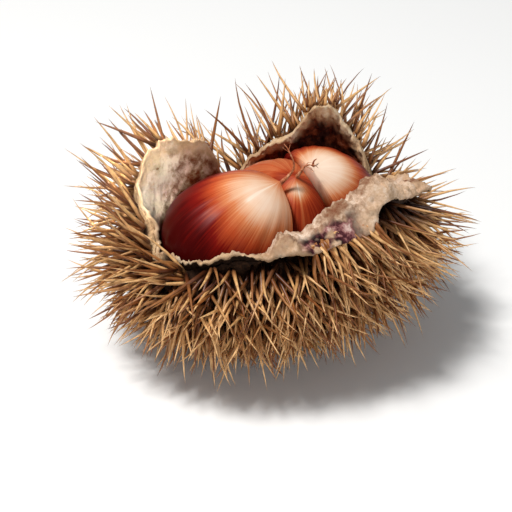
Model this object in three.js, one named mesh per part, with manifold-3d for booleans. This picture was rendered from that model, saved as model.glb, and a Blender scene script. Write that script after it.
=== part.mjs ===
// A ripe sweet chestnut burr that has split into four spiny valves, with its three nuts still seated inside.
// Millimetres, +Z up. The origin is the centre of the small flat scar under the burr, where its stalk broke off.
// X and Y run across the burr. The row of nuts is turned by ROW_TURN from +X.
import * as THREE from "three";
import { mergeVertices } from "three/addons/utils/BufferGeometryUtils.js";
import Module from "manifold-3d";

const wasm = await Module();
wasm.setup();

// Driving dimensions, in millimetres and degrees.
const ROW_TURN = 28;

// The husk's cup: half an ellipsoid up to its equator. Its wall thins towards the rim.
const CUP = { halfLength: 31, halfWidth: 21.5, depth: 19, equatorZ: 26, wall: 3.2, rimWall: 1.9 };

// The torn rim, as points round the cup: angle, length of wall above the equator, how far that wall leans out,
// how far it curls in towards its top, and how far its top folds over outwards as a lip. The rim falls at each split.
const RIM = [
  // front left valve: low, with a narrow lip that widens to a lump
  [-170, 6, -6, 0, 20],
  [-148, 10.5, 4, 0, 50],
  [-122, 15, 4, 0, 60],
  [-115, 17.5, 5, 0, 75],
  [-107, 25.5, 4, 0, 105],
  // front right valve: tall, with a broad lip that hangs over
  [-98, 26, 4, 0, 115],
  [-80, 33, 4, 0, 140],
  [-64, 35.5, 4, 0, 140],
  [-40, 24.5, 12, 0, 110],
  [-18, 16, 20, 0, 75],
  [0, 9, 16, 0, 50],
  // back valve: a hood that arches over the right nut
  [9, 3, 4, 0, 0],
  [18, 12, -2, 0, 0],
  [32, 21, -3, 8, 0],
  [48, 27, -4, 28, 0],
  [60, 18, -2, 24, 0],
  [80, 10, 2, 8, 0],
  // left valve: a tall tongue that leans out, and a low edge beside it that turns in to the nut
  [89, 3, 4, 0, 0],
  [98, 12, 6, 4, 0],
  [108, 19, 8, 14, 0],
  [122, 22, 14, 20, 0],
  [146, 14.5, 22, 8, 0],
  [156, 11, 6, 2, 0],
  [168, 8, -14, 0, 0],
];
const RIM_STEPS = 16;
const FINEST_EDGE = 0.01;
const WALL_FACETS = { around: 64, rings: 20 };

// The husk's brown outer skin, which carries the spines. It ends a little below the torn rim, or under the lip.
const SKIN = { gap: 0.4, leastGap: 0.06, thickness: 0.9, to: 1.95, toUnderLip: 1.56, facets: { around: 64, rings: 24 } };

// The lip folds between these shares of the wall's length above the equator.
const LIP = { from: 0.54, to: 0.82 };

// The lip narrows towards its right end: this share of the wall's length is torn off there, between these angles.
const NARROW_LIP = { share: 0.12, from: -76, fully: -68, until: -36, to: -26 };

// The torn edge is wavy: height of the waves, then the number of waves round the rim, share and phase of each kind.
const TORN_EDGE = 0.7;
const TORN_WAVES = [
  [11, 1, 1],
  [17, 0.6, 2.3],
];

// The flat scar of the stalk, on a low boss.
const SCAR = { radius: 5, topRadius: 7, height: 6, sides: 16 };

// Spines stand in small bundles, spread evenly over the husk's outside. They are shorter near the rim and underneath,
// where they grow to full length from lowFrom to lowTo up the wall, and those under the lip are pressed down. None is
// lower than lowest. Draws for tilt and length start at these counts.
const SPINES = {
  bundles: 172,
  perBundle: 3,
  length: 16,
  lengthSpread: 3.5,
  rimShare: 0.65,
  lowShare: 0.34,
  lowFrom: 0.3,
  lowTo: 1.15,
  pressedDown: 0.7,
  pressedFrom: 0.7,
  spread: 0.62,
  leastSpread: 0.15,
  bundleRadius: 0.95,
  radius: 0.62,
  rootDepth: 0.5,
  sides: 3,
  lowest: 0.5,
  tiltDraw: 20,
  lengthDraw: 40,
};

// Where spines grow on the husk's outer face: from a little way round the scar to just under the rim, or under the lip.
const SPINY = { from: 0.2, to: 1.9, toUnderLip: 1.5, columns: 96, rows: 40, beside: 0.02 };
const NEARLY_UP = 0.9;
const GOLDEN_SHARE = 0.6180339887498949;

// Each nut: where its tip is, its height, half width, the bulge of its outer and inner sides, the direction its outer
// side faces, how far its tip leans back from there and to the front, how boxy its section is (1 is round), and the
// dried style on its tip, as further points from the tip.
const NUTS = [
  {
    name: "nut_left",
    tip: [1.75, -4.1, 43.7],
    height: 32,
    halfWidth: 17.2,
    outer: 21,
    inner: 2.2,
    turn: 213,
    lean: 28,
    forward: 15,
    round: 1,
    style: [
      [2.3, 0, 1.8],
      [3.3, 0, 4.5],
      [2, 0.5, 8.1],
      [0.9, 1, 9.5],
    ],
  },
  {
    name: "nut_right",
    tip: [9.4, 2.2, 43.9],
    height: 31,
    halfWidth: 17.2,
    outer: 15,
    inner: 2.2,
    turn: 33,
    lean: 22,
    forward: 15,
    round: 1,
    style: [
      [0.5, 0.8, 1],
      [1.3, 1.8, 1.4],
    ],
  },
  {
    name: "nut_middle",
    tip: [5.55, -1, 43.25],
    height: 33,
    halfWidth: 18,
    outer: 11,
    inner: 9,
    turn: 26,
    lean: -4,
    forward: 19,
    round: 0.6,
    style: [
      [1.2, -0.2, 1.4],
      [2.3, -0.3, 3],
      [3.5, -0.3, 3.3],
      [4.4, -0.2, 2.6],
    ],
  },
];
const NUT_GAP = 0.3;
const NUT_FACETS = { around: 24, rings: 14 };
const NUT_SHAPE = { shoulder: 0.74, fullness: 0.5, pointed: 0.5, pointedFrom: 30 };
const STYLE = { rootRadius: 0.7, tipRadius: 0.4, rootDepth: 2, around: 6, rings: 10 };

const rad = THREE.MathUtils.degToRad;
const FULL_TURN = 2 * Math.PI;
const UP = new THREE.Vector3(0, 0, 1);
const ALONG = new THREE.Vector3(Math.cos(rad(ROW_TURN)), Math.sin(rad(ROW_TURN)), 0);
const ACROSS = new THREE.Vector3().crossVectors(UP, ALONG);

// A soft step from 0 to 1.
const smooth = (x) => {
  const t = THREE.MathUtils.clamp(x, 0, 1);
  return t * t * (3 - 2 * t);
};

// A repeatable draw from 0 to 1 for item i, draw k.
const draw = (i, k) => {
  const x = Math.sin(i * 12.9898 + k * 78.233) * 43758.5453;
  return x - Math.floor(x);
};

const fromRow = (along, across, z) =>
  new THREE.Vector3().addScaledVector(ALONG, along).addScaledVector(ACROSS, across).addScaledVector(UP, z);

// One column of RIM at a share of the way from row k to the next: a smooth curve that never overshoots the rows.
function alongRim(k, share, column) {
  const row = (i) => RIM[THREE.MathUtils.euclideanModulo(i, RIM.length)];
  const angleOf = (i) => row(i)[0] + 360 * Math.floor(i / RIM.length);
  const slope = (i) => (row(i + 1)[column] - row(i)[column]) / (angleOf(i + 1) - angleOf(i));
  const tangent = (i) => {
    const before = slope(i - 1);
    const after = slope(i);
    return before * after > 0 ? (2 * before * after) / (before + after) : 0;
  };
  const width = angleOf(k + 1) - angleOf(k);
  const rise = smooth(share);
  const start = share * (1 - share) ** 2;
  const end = share ** 2 * (share - 1);
  const bend = width * (tangent(k) * start + tangent(k + 1) * end);
  return row(k)[column] * (1 - rise) + row(k + 1)[column] * rise + bend;
}

// The rim's figures at one angle round the cup, in radians.
function rimAt(angle) {
  const first = RIM[0][0];
  const degrees = first + THREE.MathUtils.euclideanModulo(THREE.MathUtils.radToDeg(angle) - first, 360);
  let k = RIM.length - 1;
  while (RIM[k][0] > degrees) k--;
  const next = k + 1 < RIM.length ? RIM[k + 1][0] : first + 360;
  const share = (degrees - RIM[k][0]) / (next - RIM[k][0]);
  const [length, lean, curl, lip] = [1, 2, 3, 4].map((column) => alongRim(k, share, column));
  const waves = TORN_WAVES.map(([count, height, phase]) => height * Math.sin(count * angle + phase));
  const torn = TORN_EDGE * waves.reduce((sum, wave) => sum + wave, 0);
  const { share: most, from, fully, until, to } = NARROW_LIP;
  const narrow = smooth((degrees - from) / (fully - from)) * smooth((to - degrees) / (to - until));
  return { length: length + torn, lean, curl, lip, kept: 1 - most * narrow };
}

// The point and outward normal of the husk's inner face. s runs 0 to 1 up the cup and 1 to 2 up the wall above it.
function innerFace(angle, s) {
  const { halfLength: a, halfWidth: b, depth, equatorZ } = CUP;
  const c = Math.cos(angle);
  const d = Math.sin(angle);
  if (s <= 1) {
    const ring = Math.sin((s * Math.PI) / 2);
    const drop = depth * Math.cos((s * Math.PI) / 2);
    const point = fromRow(a * c * ring, b * d * ring, equatorZ - drop);
    const normal = fromRow((c * ring) / a, (d * ring) / b, -drop / depth ** 2).normalize();
    return { point, normal };
  }
  const out = fromRow(c / a, d / b, 0).normalize();
  const rim = rimAt(angle);
  const rise = (s - 1) * rim.kept;
  const step = (rim.length * rise) / RIM_STEPS;
  const point = fromRow(a * c, b * d, equatorZ);
  let slope = rad(90);
  for (let i = 0; i < RIM_STEPS; i++) {
    const f = (rise * (i + 0.5)) / RIM_STEPS;
    const fold = rim.lip * smooth((f - LIP.from) / (LIP.to - LIP.from));
    slope = rad(90 - rim.lean * smooth(f * 3) + rim.curl * f * f - fold);
    point.addScaledVector(out, step * Math.cos(slope)).addScaledVector(UP, step * Math.sin(slope));
  }
  const normal = out.multiplyScalar(Math.sin(slope)).addScaledVector(UP, -Math.cos(slope));
  return { point, normal };
}

const wallAt = (s) => THREE.MathUtils.lerp(CUP.wall, CUP.rimWall, smooth((s - 1) * 2));

// The wall's outer face, or a face that much further out.
function outerFace(angle, s, further = 0) {
  const { point, normal } = innerFace(angle, s);
  return { point: point.addScaledVector(normal, wallAt(s) + further), normal };
}

// A sphere whose vertices a rule moves: place(turn, down) is given 0 to 1 round it and 0 to 1 from pole to pole.
function shapedSphere({ around, rings }, place) {
  const g = new THREE.SphereGeometry(1, around, rings);
  const uv = g.getAttribute("uv");
  const position = g.getAttribute("position");
  for (let i = 0; i < position.count; i++) {
    const down = Math.round((1 - uv.getY(i)) * rings) / rings;
    const atPole = down === 0 || down === 1;
    const turn = (Math.round(uv.getX(i) * around) / around) % 1;
    const p = place(atPole ? 0 : turn, down);
    position.setXYZ(i, p.x, p.y, p.z);
  }
  return solidOf(g);
}

function solidOf(geometry) {
  const g = geometry.index ? geometry.toNonIndexed() : geometry.clone();
  g.deleteAttribute("normal");
  g.deleteAttribute("uv");
  const merged = mergeVertices(g);
  return new wasm.Manifold(
    new wasm.Mesh({
      numProp: 3,
      vertProperties: merged.attributes.position.array,
      triVerts: new Uint32Array(merged.index.array),
    }),
  );
}

function geometryOf(solid) {
  const m = solid.getMesh();
  const g = new THREE.BufferGeometry();
  g.setAttribute("position", new THREE.BufferAttribute(new Float32Array(m.vertProperties), 3));
  g.setIndex(new THREE.BufferAttribute(new Uint32Array(m.triVerts), 1));
  return g;
}

const largestPiece = (solid) => solid.decompose().reduce((p, q) => (q.volume() > p.volume() ? q : p));

// The husk's wall: the sphere's upper half becomes the inner face and its lower half the outer face. With a gap it is
// that much larger outside, to keep the spines clear of it.
function wallSolid(gap = 0) {
  return shapedSphere(WALL_FACETS, (turn, down) => {
    const angle = turn * FULL_TURN;
    return down <= 0.5 ? innerFace(angle, down * 4).point : outerFace(angle, (1 - down) * 4, gap).point;
  });
}

// How fully the lip is folded over at this angle, from 0 to 1.
const foldAt = (angle) => smooth(rimAt(angle).lip / 90);

// The outer skin, made as the wall is, from the scar up to just below the rim.
function skinSolid() {
  return shapedSphere(SKIN.facets, (turn, down) => {
    const angle = turn * FULL_TURN;
    const top = THREE.MathUtils.lerp(SKIN.to, SKIN.toUnderLip, foldAt(angle));
    return down <= 0.5
      ? outerFace(angle, down * 2 * top, SKIN.gap).point
      : outerFace(angle, (1 - down) * 2 * top, SKIN.gap + SKIN.thickness).point;
  });
}

// Places spread evenly over the husk's outer face, by area: a golden-angle sequence round and up it.
function evenPlaces(count) {
  const sAt = (row, top) => THREE.MathUtils.lerp(SPINY.from, top, row / SPINY.rows);
  const columns = [];
  let total = 0;
  for (let i = 0; i < SPINY.columns; i++) {
    const angle = ((i + 0.5) / SPINY.columns) * FULL_TURN;
    const top = THREE.MathUtils.lerp(SPINY.to, SPINY.toUnderLip, foldAt(angle));
    const sums = [0];
    for (let j = 0; j < SPINY.rows; j++) {
      const here = outerFace(angle, sAt(j, top)).point;
      const beside = outerFace(angle + SPINY.beside, sAt(j, top)).point;
      const above = outerFace(angle, sAt(j + 1, top)).point;
      sums.push(sums[j] + here.distanceTo(beside) * here.distanceTo(above));
    }
    columns.push({ sums, top, before: total });
    total += sums[SPINY.rows];
  }
  const places = [];
  for (let n = 0; n < count; n++) {
    const target = (((n + 0.5) * GOLDEN_SHARE) % 1) * total;
    let i = SPINY.columns - 1;
    while (columns[i].before > target) i--;
    const { sums, top, before } = columns[i];
    const angle = ((i + (target - before) / sums[SPINY.rows]) / SPINY.columns) * FULL_TURN;
    const wanted = ((n + 0.5) / count) * sums[SPINY.rows];
    let j = 0;
    while (j < SPINY.rows - 1 && sums[j + 1] < wanted) j++;
    places.push({ angle, s: sAt(j + (wanted - sums[j]) / (sums[j + 1] - sums[j]), top) });
  }
  return places;
}

// One spine of a bundle: its root on the husk and its tip. It ends just off the ground where it would reach lower.
function spine(n, k, place) {
  const { point, normal } = outerFace(place.angle, place.s);
  const side = new THREE.Vector3().crossVectors(normal, Math.abs(normal.z) < NEARLY_UP ? UP : ALONG).normalize();
  const other = new THREE.Vector3().crossVectors(normal, side);
  const turn = FULL_TURN * ((k + draw(n, k)) / SPINES.perBundle);
  const away = side.multiplyScalar(Math.cos(turn)).addScaledVector(other, Math.sin(turn));
  const tilt = SPINES.spread * Math.sqrt(THREE.MathUtils.lerp(SPINES.leastSpread, 1, draw(n, k + SPINES.tiltDraw)));
  const full = SPINES.length + SPINES.lengthSpread * (2 * draw(n, k + SPINES.lengthDraw) - 1);
  const nearRim = THREE.MathUtils.lerp(1, SPINES.rimShare, smooth(place.s - 1));
  const grown = smooth((place.s - SPINES.lowFrom) / (SPINES.lowTo - SPINES.lowFrom));
  const underneath = THREE.MathUtils.lerp(SPINES.lowShare, 1, grown);
  const length = full * nearRim * underneath;
  const down = SPINES.pressedDown * foldAt(place.angle) * smooth((place.s - SPINES.pressedFrom) * 2);
  const direction = normal.clone().addScaledVector(away, tilt).addScaledVector(UP, -down).normalize();
  const root = point.clone().addScaledVector(away, SPINES.bundleRadius);
  const tip = root.clone().addScaledVector(direction, length);
  if (tip.z < SPINES.lowest) tip.lerp(root, (SPINES.lowest - tip.z) / (root.z - tip.z));
  return { root, tip, normal };
}

function spineSolid({ root, tip, normal }) {
  const start = root.clone().addScaledVector(normal, SKIN.gap + SKIN.thickness - SPINES.rootDepth);
  const axis = tip.clone().sub(start);
  const length = axis.length();
  const g = new THREE.ConeGeometry(SPINES.radius, length, SPINES.sides, 1);
  g.translate(0, length / 2, 0);
  g.applyQuaternion(new THREE.Quaternion().setFromUnitVectors(new THREE.Vector3(0, 1, 0), axis.normalize()));
  g.translate(start.x, start.y, start.z);
  return solidOf(g);
}

// A nut's frame: its tip, its axis from base to tip, the direction that its outer side faces and its width direction.
function nutFrame(nut) {
  const flat = new THREE.Vector3(Math.cos(rad(nut.turn)), Math.sin(rad(nut.turn)), 0);
  const side = new THREE.Vector3().crossVectors(UP, flat);
  const forward = side.y < 0 ? nut.forward : -nut.forward;
  const axis = UP.clone().addScaledVector(flat, -Math.tan(rad(nut.lean))).addScaledVector(side, Math.tan(rad(forward)));
  axis.normalize();
  const facing = flat.addScaledVector(axis, -flat.dot(axis)).normalize();
  const width = new THREE.Vector3().crossVectors(axis, facing);
  return { tip: new THREE.Vector3(...nut.tip), axis, facing, width };
}

// How wide a nut is at t, from 0 at its base to 1 at its tip: blunt shoulders drawn out to a small point.
const nutProfile = (t) => {
  const inside = THREE.MathUtils.clamp(t, 0, 1);
  const power = NUT_SHAPE.fullness + NUT_SHAPE.pointed * inside ** NUT_SHAPE.pointedFrom;
  return Math.sin(Math.PI * inside ** NUT_SHAPE.shoulder) ** power;
};

const signedPower = (x, power) => Math.sign(x) * Math.abs(x) ** power;

// A point on a nut's skin, at an angle from the direction that its outer side faces and t up its height.
function nutPoint(nut, frame, angle, t, gap) {
  const p = nutProfile(t);
  const c = signedPower(Math.cos(angle), nut.round);
  const d = signedPower(Math.sin(angle), nut.round);
  const bulge = ((c > 0 ? nut.outer : nut.inner) + gap) * p * c;
  return frame.tip
    .clone()
    .addScaledVector(frame.axis, gap - (nut.height + 2 * gap) * (1 - t))
    .addScaledVector(frame.facing, bulge)
    .addScaledVector(frame.width, (nut.halfWidth + gap) * p * d);
}

// A nut's body. With a gap it is that much larger all round, to cut room for the nut from what it touches.
function bodySolid(nut, gap) {
  const frame = nutFrame(nut);
  return shapedSphere(NUT_FACETS, (turn, down) => {
    const t = (1 + Math.cos(Math.PI * down)) / 2;
    return nutPoint(nut, frame, turn * FULL_TURN, t, gap);
  });
}

function styleSolid(nut) {
  const { tip, axis } = nutFrame(nut);
  const root = tip.clone().addScaledVector(axis, -STYLE.rootDepth);
  const curve = new THREE.CatmullRomCurve3([root, ...nut.style.map((p) => new THREE.Vector3(...p).add(tip))]);
  return shapedSphere(STYLE, (turn, down) => {
    const along = 1 - down;
    const radius = THREE.MathUtils.lerp(STYLE.rootRadius, STYLE.tipRadius, along);
    const reach = down === 0 || down === 1 ? 0 : radius;
    const tangent = curve.getTangent(along);
    const side = new THREE.Vector3().crossVectors(tangent, ACROSS).normalize();
    const other = new THREE.Vector3().crossVectors(tangent, side);
    return curve
      .getPoint(along)
      .addScaledVector(side, reach * Math.cos(turn * FULL_TURN))
      .addScaledVector(other, reach * Math.sin(turn * FULL_TURN));
  });
}

// A nut with its style, pressed flat where the nuts seated before it touch it.
function nutSolid(nut, index) {
  const before = NUTS.slice(0, index).map((other) => bodySolid(other, NUT_GAP));
  const body = before.reduce((solid, other) => solid.subtract(other), bodySolid(nut, 0));
  return largestPiece(wasm.Manifold.union([body, styleSolid(nut)]));
}

// The scar's boss. With a gap it is that much larger, to cut its way through the skin.
function scarSolid(gap = 0) {
  const g = new THREE.CylinderGeometry(SCAR.topRadius + gap, SCAR.radius + gap, SCAR.height, SCAR.sides);
  g.rotateX(rad(90));
  g.translate(0, 0, SCAR.height / 2);
  return solidOf(g);
}

const without = (solid, others) => others.reduce((left, other) => left.subtract(other), solid);

const NUT_ROOM = NUTS.map((nut) => bodySolid(nut, NUT_GAP));

// The felted wall with its lips and the scar, and a hollow where each nut is seated.
function huskWallSolid() {
  return largestPiece(without(wasm.Manifold.union([wallSolid(), scarSolid()]), NUT_ROOM).simplify(FINEST_EDGE));
}

// The outer skin with all its spines, clear of the wall, the scar and the nuts.
function huskSpinesSolid() {
  const spines = evenPlaces(SPINES.bundles).flatMap((place, n) =>
    Array.from({ length: SPINES.perBundle }, (_, k) => spineSolid(spine(n, k, place))),
  );
  const room = [wallSolid(SKIN.leastGap), scarSolid(SKIN.gap), ...NUT_ROOM];
  return largestPiece(without(wasm.Manifold.union([skinSolid(), ...spines]), room).simplify(FINEST_EDGE));
}

const part = new THREE.Group();

function addNode(name, solid, colour, roughness) {
  const material = new THREE.MeshStandardMaterial({ color: colour, roughness, metalness: 0 });
  const mesh = new THREE.Mesh(geometryOf(solid), material);
  mesh.name = name;
  part.add(mesh);
}

addNode("husk_wall", huskWallSolid(), 0xcdb394, 0.9);
addNode("husk_spines", huskSpinesSolid(), 0xb07f45, 0.7);
NUTS.forEach((nut, index) => addNode(nut.name, nutSolid(nut, index), 0x8a3418, 0.3));

export default part;
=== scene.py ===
"""A ripe sweet chestnut burr with its three nuts, dressed for the photograph's view.

Shapes are worked out in millimetres from the same dimensions as the solids, and become metres in each mesh.
"""

import math

import bpy
import numpy as np
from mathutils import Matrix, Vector, noise

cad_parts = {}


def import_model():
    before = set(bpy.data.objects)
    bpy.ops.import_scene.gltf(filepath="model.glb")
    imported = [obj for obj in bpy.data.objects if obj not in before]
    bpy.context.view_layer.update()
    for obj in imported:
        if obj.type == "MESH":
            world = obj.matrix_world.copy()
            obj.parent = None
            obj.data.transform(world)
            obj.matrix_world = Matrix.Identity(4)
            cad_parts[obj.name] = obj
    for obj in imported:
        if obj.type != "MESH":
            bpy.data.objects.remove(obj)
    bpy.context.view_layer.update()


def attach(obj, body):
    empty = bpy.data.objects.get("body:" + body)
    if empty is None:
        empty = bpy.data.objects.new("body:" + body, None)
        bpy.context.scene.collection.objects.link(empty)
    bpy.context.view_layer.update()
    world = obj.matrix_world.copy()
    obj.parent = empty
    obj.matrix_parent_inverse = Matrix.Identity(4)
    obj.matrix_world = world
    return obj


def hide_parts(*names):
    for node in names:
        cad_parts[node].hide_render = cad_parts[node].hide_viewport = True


MM = 0.001

# The husk, as in the solids: row of nuts, cup, rim, lip and torn edge.
ROW_TURN = math.radians(28)
CUP = {"half_length": 31, "half_width": 21.5, "depth": 19, "equator_z": 26, "wall": 3.2, "rim_wall": 1.9}
RIM = np.array(
    [
        # angle, length above the equator, lean out, curl in, lip: the front left valve
        [-170, 6, -6, 0, 20],
        [-148, 10.5, 4, 0, 50],
        [-122, 15, 4, 0, 60],
        [-115, 17.5, 5, 0, 75],
        [-107, 25.5, 4, 0, 105],
        # front right valve
        [-98, 26, 4, 0, 115],
        [-80, 33, 4, 0, 140],
        [-64, 35.5, 4, 0, 140],
        [-40, 24.5, 12, 0, 110],
        [-18, 16, 20, 0, 75],
        [0, 9, 16, 0, 50],
        # back valve
        [9, 3, 4, 0, 0],
        [18, 12, -2, 0, 0],
        [32, 21, -3, 8, 0],
        [48, 27, -4, 28, 0],
        [60, 18, -2, 24, 0],
        [80, 10, 2, 8, 0],
        # left valve
        [89, 3, 4, 0, 0],
        [98, 12, 6, 4, 0],
        [108, 19, 8, 14, 0],
        [122, 22, 14, 20, 0],
        [146, 14.5, 22, 8, 0],
        [156, 11, 6, 2, 0],
        [168, 8, -14, 0, 0],
    ]
)
RIM_STEPS = 16
LIP = {"from": 0.54, "to": 0.82}
LIP_SAG = {"at": -103, "width": 8, "ridge": 3.0, "edge": 1.2}
NARROW_LIP = {"share": 0.12, "from": -76, "fully": -68, "until": -36, "to": -26}
SKIN = {"gap": 0.05, "thickness": 1.25, "to": 1.975, "to_under_lip": 1.56}
EDGE_WALL = 0.9
TORN_EDGE = 0.7
TORN_WAVES = ((11, 1, 1), (17, 0.6, 2.3))
THINNER_FROM = 1.75
CRINKLED_FROM = 1.7
LUMP = {"at": -106, "width": 6.5, "height": 1.84, "spread": 0.15, "rise": 1.5, "rough": 1.5}
SCAR = {"radius": 5, "top_radius": 7, "height": 6, "hollow": 0.35, "ridges": 9, "ridge": 0.05}

# Each kind of unevenness: the size of its lumps in millimetres, its octaves and its seed.
LUMPS = {
    "rag": (3.2, 4, 3.0),
    "fine_rag": (0.9, 3, 5.0),
    "crinkle": (2.2, 3, 14.0),
    "felt": (1.6, 4, 1.0),
    "waves": (4.0, 4, 2.0),
    "wrinkles": (1.2, 5, 9.0),
    "hood": (2.0, 4, 12.0),
    "lump": (1.7, 4, 6.0),
    "outside": (3.0, 3, 4.0),
    "skin": (1.8, 3, 8.0),
    "hood_tone": (2.0, 4, 13.0),
    "tongue_tone": (2.4, 5, 11.0),
    "torn": (4.0, 2, 7.0),
}

# How far each kind stands out or in, in millimetres, and how much further it does on the lip.
RELIEF = {"felt": 0.25, "waves": 0.25, "wrinkles": 0.12, "hood": 0.85, "outside": 0.3, "skin": 0.25}
RELIEF_ON_LIP = {"waves": 0.8, "wrinkles": 0.45}

# How ragged the torn edge is, in millimetres: everywhere, and how much more on the lip and along the hood.
RAG = {"all": 0.6, "lip": 1.0, "hood": 0.5}
FINE_RAG = {"all": 0.6, "lip": 0.7}

# Stretches of the rim in degrees: start, end, and how softly they start and end.
ZONES = {
    "hood": (3, 92, 8, 8),
    "hood_relief": (12, 88, 10, 8),
    "tongue": (90, 184, 6, 8),
    "golden": (3, 196, 8, 10),
    "torn": (-105, -76, 5, 8),
}

# How dark the parts of the wall are, from cream at 0 to nearly black at 1, and how much darker each one gets;
# the darkening inside the hood, low on the tongue and deep in the cup is painted shade.
TONES = {
    "hood": 0.4,
    "painted_hood_shade": 0.48,
    "hood_lumps": 0.2,
    "tongue": -0.22,
    "tongue_right": 0.58,
    "painted_tongue_shade": 0.5,
    "tongue_lumps": 0.26,
    "lip": 0.3,
    "lip_right": 0.12,
    "front_left": 0.02,
    "lump": 0.06,
    "depth": 0.88,
    "outside": 0.4,
}

# How finely each form is divided.
WALL_MESH = {"around": 480, "inside": 84, "outside": 60}
SKIN_MESH = {"around": 240, "rows": 60}
SCAR_MESH = {"around": 48, "rows": 10}

# The solids' spines, as there, and the finer ones that fill in between them.
SPINES = {
    "length": 16,
    "length_spread": 3.5,
    "low_share": 0.34,
    "low_from": 0.3,
    "low_to": 1.15,
    "pressed_down": 0.7,
}
SPINE_REACH = ((-51.3, -45.0, 0.5), (51.1, 44.6, 54.4))
SOLID_SPINES = {
    "bundles": 172,
    "per_bundle": 3,
    "tilt": 0.62,
    "least": 0.15,
    "longest": 1.0,
    "rim_share": 0.65,
    "lift": 0.3,
    "thinned": 0.0,
    "to": 1.9,
    "bundle_radius": 0.95,
    "radius": 0.5,
    "bend": 0.03,
}
FINE_SPINES = {
    "bundles": 300,
    "per_bundle": 8,
    "tilt": 0.95,
    "least": 0.02,
    "longest": 1.35,
    "rim_share": 0.9,
    "lift": 0.6,
    "thinned": 0.6,
    "to": 1.98,
    "bundle_radius": 1.0,
    "radius": 0.5,
    "bend": 0.09,
}

# Spines that stand in the lip's torn flesh.
LIP_SPINES = {
    "numbered_from": 9000,
    "count": 36,
    "from": -99,
    "to": -73,
    "low": 1.88,
    "high": 1.98,
    "depth": 0.6,
    "length": 10.5,
    "down": 0.95,
    "along": 0.35,
    "spread": 0.5,
    "light": 1.6,
    "bend": 0.13,
}

# Root and tip of single spines: two long ones that stand up at the left, and some across the left corner.
STRAY_SPINES = (
    ((-28.6, 6.8, 42), (-40.3, 16, 50)),
    ((-27.9, 6.2, 41), (-37.6, 17.8, 53)),
    ((-20.5, -24.5, 30), (-36, -22, 39.5)),
    ((-21, -24.8, 29.5), (-37.5, -24, 36.5)),
    ((-19.5, -25, 29.5), (-34, -25.5, 36)),
    ((-22, -24.2, 29), (-38.5, -26.5, 33.5)),
    ((-18.5, -25.4, 29), (-33.5, -28, 33)),
    ((-17, -25.8, 29), (-31, -29.5, 31.5)),
    ((-20, -24.6, 30.3), (-31.5, -20.5, 40)),
)
SPINY = {"from": 0.2, "to_under_lip": 1.5, "columns": 96, "rows": 40}
GOLDEN_SHARE = 0.6180339887498949
SPINE_SIDES = 5

# Each ring of a spine: its place from root to tip and its share of the full radius.
SPINE_RINGS = ((0, 1.0), (0.22, 0.92), (0.45, 0.74), (0.68, 0.5), (0.88, 0.24))
# How far above the wall a spine begins, inside the skin, and how much lighter a light spine's root is, with
# less of the painted shade at its root.
SPINE_START = 0.6
LESS_ROOT_SHADE = 0.34

# The nuts, as in the solids.
NUTS = [
    {
        "name": "nut_left",
        "tip": (1.75, -4.1, 43.7),
        "height": 32,
        "half_width": 17.2,
        "outer": 21,
        "inner": 2.2,
        "turn": 213,
        "lean": 28,
        "forward": 15,
        "round": 1,
        "style": ((2.3, 0, 1.8), (3.3, 0, 4.5), (2, 0.5, 8.1), (0.9, 1, 9.5)),
    },
    {
        "name": "nut_right",
        "tip": (9.4, 2.2, 43.9),
        "height": 31,
        "half_width": 17.2,
        "outer": 15,
        "inner": 2.2,
        "turn": 33,
        "lean": 22,
        "forward": 15,
        "round": 1,
        "style": ((0.5, 0.8, 1), (1.3, 1.8, 1.4)),
    },
    {
        "name": "nut_middle",
        "tip": (5.55, -1, 43.25),
        "height": 33,
        "half_width": 18,
        "outer": 11,
        "inner": 9,
        "turn": 26,
        "lean": -4,
        "forward": 19,
        "round": 0.6,
        "style": ((1.2, -0.2, 1.4), (2.3, -0.3, 3), (3.5, -0.3, 3.3), (4.4, -0.2, 2.6)),
    },
]
NUT_GAP = 0.3
NUT_SHAPE = {"shoulder": 0.74, "fullness": 0.5, "pointed": 0.5, "pointed_from": 30}
NUT_MESH = {"around": 144, "rows": 110}
STYLE_RADII = (0.65, 0.36, 0.23, 0.16, 0.08)
BRANCH_RADII = (0.12, 0.09, 0.04)

# The photograph's view: straight along +Y from above, at a point near the burr's middle.
VIEW = {"elevation": 32, "distance": 450, "target": (-3.95, -4.7, 23.04), "lens": 129.7}

# The lamps, in metres, with the point in millimetres that each is aimed at and its spread in degrees.
LAMPS = [
    {"name": "key", "place": (-0.34, -0.1, 0.87), "size": 0.22, "energy": 9.0, "colour": (1.0, 0.985, 0.96)},
    {"name": "fill", "place": (0.7, -0.65, 0.24), "size": 0.5, "energy": 3.2, "colour": (0.92, 0.97, 1.0)},
    {
        "name": "left_valve",
        "place": (0.32, -0.26, 0.7),
        "size": 0.03,
        "energy": 0.0052,
        "colour": (1.0, 0.96, 0.9),
        "aim": (-34.5, 4.5, 42),
        "spread": 1.7,
    },
]
WORLD = {"colour": (0.92, 0.97, 1.0), "strength": 0.18}
FLOOR = {"reach": 3.0, "darker": 0.94, "lighter": 0.96}

# Colours as stops of ramps.
# The lining's darkest stops serve as painted shade deep in the cup, inside the hood and low on the tongue.
LINING_COLOURS = [
    (0.0, (0.93, 0.78, 0.64)),
    (0.22, (0.66, 0.46, 0.33)),
    (0.45, (0.33, 0.18, 0.105)),
    (0.7, (0.17, 0.030, 0.008)),
    (1.0, (0.030, 0.005, 0.002)),
]
WALL_OUTSIDE_COLOURS = [(0.3, (0.006, 0.003, 0.002)), (0.7, (0.035, 0.015, 0.007))]
TORN_COLOURS = [
    (0.42, (0.015, 0.004, 0.006)),
    (0.52, (0.09, 0.022, 0.028)),
    (0.59, (0.34, 0.14, 0.13)),
    (0.68, (0.72, 0.52, 0.45)),
]
TAN_COLOURS = [(0.3, (0.34, 0.17, 0.07)), (0.5, (0.72, 0.47, 0.26)), (0.68, (0.90, 0.72, 0.50))]
SKIN_COLOURS = [(0.3, (0.008, 0.003, 0.002)), (0.55, (0.035, 0.014, 0.006)), (0.8, (0.12, 0.055, 0.025))]
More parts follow.
